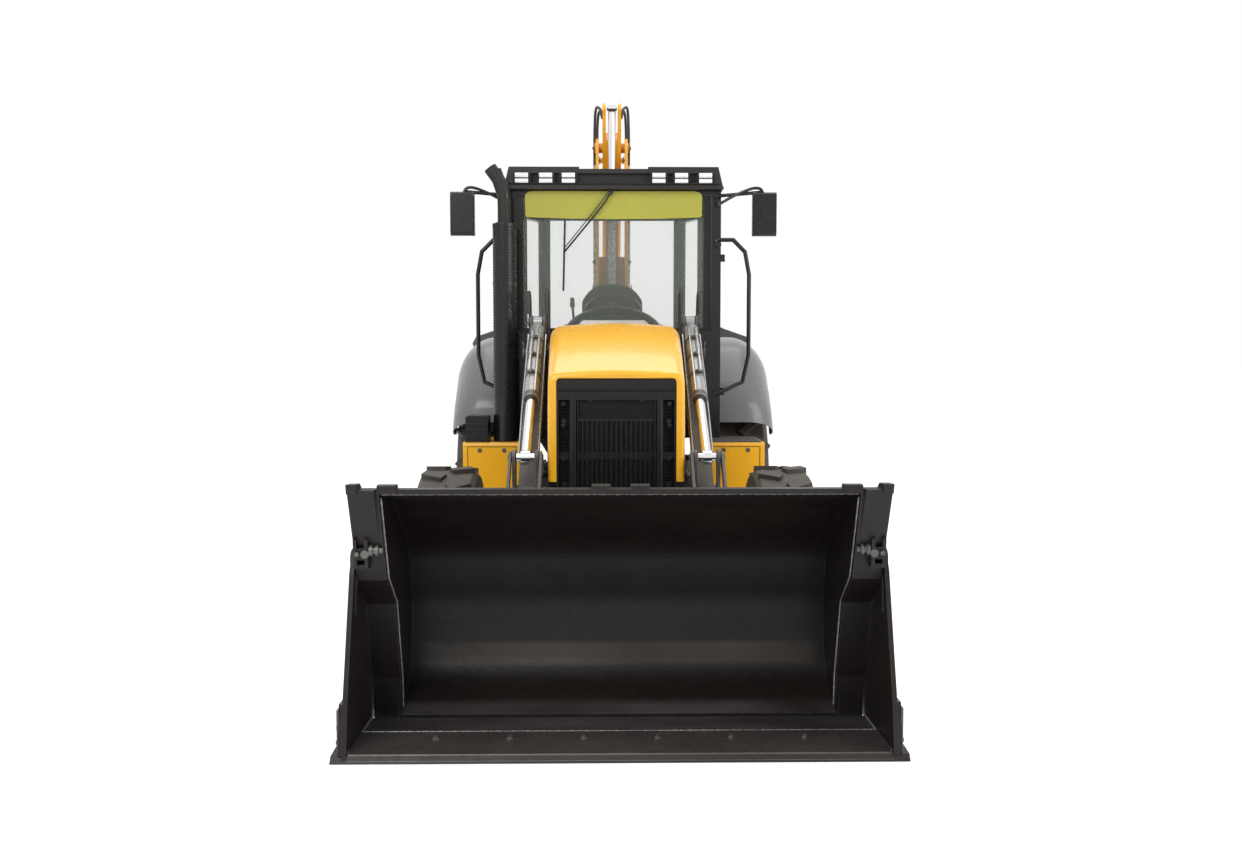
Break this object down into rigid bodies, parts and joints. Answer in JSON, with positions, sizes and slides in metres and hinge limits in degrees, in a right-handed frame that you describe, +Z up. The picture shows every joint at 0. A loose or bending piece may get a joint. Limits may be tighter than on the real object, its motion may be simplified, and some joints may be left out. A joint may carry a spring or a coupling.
{
  "type": "backhoe loader",
  "caption": "Centre-pivot backhoe loader with a four-in-one front bucket, a glazed cab, a steered front axle, a folded backhoe and radial stabilisers, posed by joints.",
  "frame": {"origin": "on the ground, below the middle of the machine's overall box", "axes": "+Z up, the machine drives towards -Y with its backhoe at +Y, +X is its left side"},
  "size_m": [2.35, 5.956, 3.656],
  "materials": {
    "yellow_paint": "gloss",
    "boom_paint": "satin",
    "dark_grey_paint": "satin",
    "black_paint": "satin",
    "cast_grey": "matte",
    "bright_steel": "satin",
    "chromed": "polished",
    "tyre_rubber": "matte",
    "tinted_glass": "clear",
    "black_plastic": "matte",
    "lamp_lens": "clear",
    "seat_fabric": "matte"
  },
  "bodies": {
    "chassis": {"frame": "dark_grey_paint", "tie_downs": "dark_grey_paint", "front_axle": "black_paint", "rear_axle": "black_paint", "powertrain": "cast_grey", "hood": "yellow_paint", "grille": "black_plastic", "cab_frame": "black_paint", "cab_roof": "black_plastic", "cab_glass": "tinted_glass", "seat": "seat_fabric", "dashboard": "black_plastic", "fenders": "dark_grey_paint", "side_boxes": "yellow_paint", "exhaust": "black_paint", "handrails_mirrors": "black_paint", "work_lamps": "lamp_lens"},
    "knuckle_left": {"knuckle_left": "cast_grey"},
    "knuckle_right": {"knuckle_right": "cast_grey"},
    "loader_arms": {"loader_arms": "dark_grey_paint"},
    "lift_barrels": {"lift_barrels": "dark_grey_paint"},
    "lift_rods": {"lift_rods": "chromed"},
    "tilt_barrels": {"tilt_barrels": "dark_grey_paint"},
    "tilt_rods": {"tilt_rods": "chromed"},
    "tilt_levers": {"tilt_levers": "dark_grey_paint"},
    "tilt_links": {"tilt_links": "dark_grey_paint"},
    "bucket_shell": {"bucket_shell": "black_paint"},
    "bucket_jaw": {"bucket_jaw": "black_paint"},
    "jaw_barrels": {"jaw_barrels": "black_paint"},
    "jaw_rods": {"jaw_rods": "chromed"},
    "swing_post": {"swing_post": "dark_grey_paint"},
    "boom": {"boom": "boom_paint"},
    "boom_barrel": {"boom_barrel": "dark_grey_paint"},
    "boom_rod": {"boom_rod": "chromed"},
    "dipper": {"dipper": "boom_paint"},
    "dipper_barrel": {"dipper_barrel": "dark_grey_paint"},
    "dipper_rod": {"dipper_rod": "chromed"},
    "hoe_barrel": {"hoe_barrel": "dark_grey_paint"},
    "hoe_rod": {"hoe_rod": "chromed"},
    "hoe_lever": {"hoe_lever": "dark_grey_paint"},
    "hoe_link": {"hoe_link": "dark_grey_paint"},
    "hoe_bucket": {"hoe_bucket": "black_paint"},
    "stabiliser_left": {"stabiliser_left": "dark_grey_paint"},
    "stabiliser_barrel_left": {"stabiliser_barrel_left": "dark_grey_paint"},
    "stabiliser_rod_left": {"stabiliser_rod_left": "chromed"},
    "stabiliser_right": {"stabiliser_right": "dark_grey_paint"},
    "stabiliser_barrel_right": {"stabiliser_barrel_right": "dark_grey_paint"},
    "stabiliser_rod_right": {"stabiliser_rod_right": "chromed"},
    "front_wheel_left": {"front_tyre_left": "tyre_rubber", "front_rim_left": "yellow_paint"},
    "front_wheel_right": {"front_tyre_right": "tyre_rubber", "front_rim_right": "yellow_paint"},
    "rear_wheel_left": {"rear_tyre_left": "tyre_rubber", "rear_rim_left": "yellow_paint"},
    "rear_wheel_right": {"rear_tyre_right": "tyre_rubber", "rear_rim_right": "yellow_paint"},
    "door_left": {"door_left": "black_paint", "door_glass_left": "tinted_glass"},
    "door_right": {"door_right": "black_paint", "door_glass_right": "tinted_glass"}
  },
  "joints": [
    {"name": "steer_left", "type": "hinge", "parent": "chassis", "child": "knuckle_left", "pos_m": [0.76, -0.881, 0.5], "axis": [0, 0, 1], "range_deg": [-35, 35]},
    {"name": "front_wheel_spin_left", "type": "hinge", "parent": "knuckle_left", "child": "front_wheel_left", "pos_m": [0.955, -0.881, 0.5], "axis": [1, 0, 0], "continuous": true},
    {"name": "rear_wheel_spin_left", "type": "hinge", "parent": "chassis", "child": "rear_wheel_left", "pos_m": [0.915, 1.294, 0.71], "axis": [1, 0, 0], "continuous": true},
    {"name": "door_open_left", "type": "hinge", "parent": "chassis", "child": "door_left", "pos_m": [0.738, 0.304, 1.85], "axis": [0, 0, -1], "range_deg": [0, 85]},
    {"name": "steer_right", "type": "hinge", "parent": "chassis", "child": "knuckle_right", "pos_m": [-0.76, -0.881, 0.5], "axis": [0, 0, 1], "range_deg": [-35, 35]},
    {"name": "front_wheel_spin_right", "type": "hinge", "parent": "knuckle_right", "child": "front_wheel_right", "pos_m": [-0.955, -0.881, 0.5], "axis": [1, 0, 0], "continuous": true},
    {"name": "rear_wheel_spin_right", "type": "hinge", "parent": "chassis", "child": "rear_wheel_right", "pos_m": [-0.915, 1.294, 0.71], "axis": [1, 0, 0], "continuous": true},
    {"name": "door_open_right", "type": "hinge", "parent": "chassis", "child": "door_right", "pos_m": [-0.738, 0.304, 1.85], "axis": [0, 0, 1], "range_deg": [0, 85]},
    {"name": "loader_lift", "type": "hinge", "parent": "chassis", "child": "loader_arms", "pos_m": [0, -0.024, 1.65], "axis": [-1, 0, 0], "range_deg": [-2, 84]},
    {"name": "lift_barrel_swing", "type": "hinge", "parent": "chassis", "child": "lift_barrels", "pos_m": [0, 0.159, 0.9], "axis": [1, 0, 0], "range_deg": [-57.44, 1.39]},
    {"name": "lift_rod_slide", "type": "slide", "parent": "lift_barrels", "child": "lift_rods", "axis": [0, -1, 0], "range_m": [-0.0209, 0.8586]},
    {"name": "bucket_tilt", "type": "hinge", "parent": "loader_arms", "child": "bucket_shell", "pos_m": [0, -1.981, 0.28], "axis": [1, 0, 0], "range_deg": [-40, 125]},
    {"name": "tilt_lever_swing", "type": "hinge", "parent": "loader_arms", "child": "tilt_levers", "pos_m": [0, -1.334, 0.9], "axis": [1, 0, 0], "range_deg": [-40.02, 125.02]},
    {"name": "tilt_link_swing", "type": "hinge", "parent": "tilt_levers", "child": "tilt_links", "pos_m": [0, -1.334, 1.09], "axis": [1, 0, 0], "range_deg": [-125.02, 40.02]},
    {"name": "tilt_barrel_swing", "type": "hinge", "parent": "loader_arms", "child": "tilt_barrels", "pos_m": [0, -0.084, 1.85], "axis": [1, 0, 0], "range_deg": [-0.63, 1.93]},
    {"name": "tilt_rod_slide", "type": "slide", "parent": "tilt_barrels", "child": "tilt_rods", "axis": [0, -0.8545, -0.5195], "range_m": [-0.0917, 0.2854]},
    {"name": "jaw_open", "type": "hinge", "parent": "bucket_shell", "child": "bucket_jaw", "pos_m": [0, -2.671, 0.78], "axis": [-1, 0, 0], "range_deg": [0, 65]},
    {"name": "jaw_barrel_swing", "type": "hinge", "parent": "bucket_shell", "child": "jaw_barrels", "pos_m": [0, -2.171, 0.33], "axis": [1, 0, 0], "range_deg": [-5.5, 0.02]},
    {"name": "jaw_rod_slide", "type": "slide", "parent": "jaw_barrels", "child": "jaw_rods", "axis": [0, -0.6031, 0.7977], "range_m": [-0.1845, 0.0005]},
    {"name": "swing", "type": "hinge", "parent": "chassis", "child": "swing_post", "pos_m": [0, 2.386, 0.68], "axis": [0, 0, 1], "range_deg": [-90, 90]},
    {"name": "boom_lower", "type": "hinge", "parent": "swing_post", "child": "boom", "pos_m": [0, 2.586, 0.8], "axis": [-1, 0, 0], "range_deg": [0, 145]},
    {"name": "boom_barrel_swing", "type": "hinge", "parent": "swing_post", "child": "boom_barrel", "pos_m": [0, 2.706, 0.496], "axis": [1, 0, 0], "range_deg": [-123.75, 0.02]},
    {"name": "boom_rod_slide", "type": "slide", "parent": "boom_barrel", "child": "boom_rod", "axis": [0, -0.3912, 0.9203], "range_m": [-0.5069, 0.0005]},
    {"name": "dipper_open", "type": "hinge", "parent": "boom", "child": "dipper", "pos_m": [0, 1.981, 3.32], "axis": [1, 0, 0], "range_deg": [0, 130]},
    {"name": "dipper_barrel_swing", "type": "hinge", "parent": "boom", "child": "dipper_barrel", "pos_m": [0, 1.961, 2.06], "axis": [1, 0, 0], "range_deg": [-0.02, 7.3]},
    {"name": "dipper_rod_slide", "type": "slide", "parent": "dipper_barrel", "child": "dipper_rod", "axis": [0, -0.0963, 0.9954], "range_m": [-0.6036, 0.0005]},
    {"name": "hoe_bucket_open", "type": "hinge", "parent": "dipper", "child": "hoe_bucket", "pos_m": [0, 2.664, 1.83], "axis": [1, 0, 0], "range_deg": [0, 108]},
    {"name": "hoe_lever_swing", "type": "hinge", "parent": "dipper", "child": "hoe_lever", "pos_m": [0, 2.586, 2.064], "axis": [1, 0, 0], "range_deg": [-0.02, 92.58]},
    {"name": "hoe_link_swing", "type": "hinge", "parent": "hoe_lever", "child": "hoe_link", "pos_m": [0, 2.76, 1.983], "axis": [1, 0, 0], "range_deg": [-84.48, 0.02]},
    {"name": "hoe_barrel_swing", "type": "hinge", "parent": "dipper", "child": "hoe_barrel", "pos_m": [0, 2.216, 3.261], "axis": [1, 0, 0], "range_deg": [-0.02, 2.39]},
    {"name": "hoe_rod_slide", "type": "slide", "parent": "hoe_barrel", "child": "hoe_rod", "axis": [0, 0.3917, -0.9201], "range_m": [-0.2704, 0.0005]},
    {"name": "stabiliser_lower_left", "type": "hinge", "parent": "chassis", "child": "stabiliser_left", "pos_m": [0.42, 2.064, 0.75], "axis": [0, 1, 0], "range_deg": [0, 96]},
    {"name": "stabiliser_barrel_swing_left", "type": "hinge", "parent": "chassis", "child": "stabiliser_barrel_left", "pos_m": [0.27, 2.064, 1.43], "axis": [0, 1, 0], "range_deg": [-0.337, 0.02]},
    {"name": "stabiliser_rod_slide_left", "type": "slide", "parent": "stabiliser_barrel_left", "child": "stabiliser_rod_left", "axis": [0.486, 0, -0.874], "range_m": [-0.0005, 0.3906]},
    {"name": "stabiliser_lower_right", "type": "hinge", "parent": "chassis", "child": "stabiliser_right", "pos_m": [-0.42, 2.064, 0.75], "axis": [0, -1, 0], "range_deg": [0, 96]},
    {"name": "stabiliser_barrel_swing_right", "type": "hinge", "parent": "chassis", "child": "stabiliser_barrel_right", "pos_m": [-0.27, 2.064, 1.43], "axis": [0, -1, 0], "range_deg": [-0.337, 0.02]},
    {"name": "stabiliser_rod_slide_right", "type": "slide", "parent": "stabiliser_barrel_right", "child": "stabiliser_rod_right", "axis": [-0.486, 0, -0.874], "range_m": [-0.0005, 0.3906]}
  ],
  "couplings": [
    {"joint": "steer_right", "follows": "steer_left", "ratio": 1},
    {"joint": "lift_barrel_swing", "follows": "loader_lift", "ratio": -0.6836},
    {"joint": "lift_rod_slide", "follows": "loader_lift", "m_per_rad": 0.5853},
    {"joint": "tilt_lever_swing", "follows": "bucket_tilt", "ratio": 1},
    {"joint": "tilt_link_swing", "follows": "bucket_tilt", "ratio": -1},
    {"joint": "tilt_barrel_swing", "follows": "bucket_tilt", "ratio": 0.0153},
    {"joint": "tilt_rod_slide", "follows": "bucket_tilt", "m_per_rad": 0.1306},
    {"joint": "jaw_barrel_swing", "follows": "jaw_open", "ratio": -0.0843},
    {"joint": "jaw_rod_slide", "follows": "jaw_open", "m_per_rad": -0.1622},
    {"joint": "boom_barrel_swing", "follows": "boom_lower", "ratio": -0.8533},
    {"joint": "boom_rod_slide", "follows": "boom_lower", "m_per_rad": -0.2001},
    {"joint": "dipper_barrel_swing", "follows": "dipper_open", "ratio": 0.056},
    {"joint": "dipper_rod_slide", "follows": "dipper_open", "m_per_rad": -0.2658},
    {"joint": "hoe_lever_swing", "follows": "hoe_bucket_open", "ratio": 0.857},
    {"joint": "hoe_link_swing", "follows": "hoe_bucket_open", "ratio": -0.782},
    {"joint": "hoe_barrel_swing", "follows": "hoe_bucket_open", "ratio": 0.02194},
    {"joint": "hoe_rod_slide", "follows": "hoe_bucket_open", "m_per_rad": -0.1432},
    {"joint": "stabiliser_barrel_swing_left", "follows": "stabiliser_lower_left", "ratio": -0.0033},
    {"joint": "stabiliser_rod_slide_left", "follows": "stabiliser_lower_left", "m_per_rad": 0.2328},
    {"joint": "stabiliser_barrel_swing_right", "follows": "stabiliser_lower_right", "ratio": -0.0033},
    {"joint": "stabiliser_rod_slide_right", "follows": "stabiliser_lower_right", "m_per_rad": 0.2328}
  ]
}
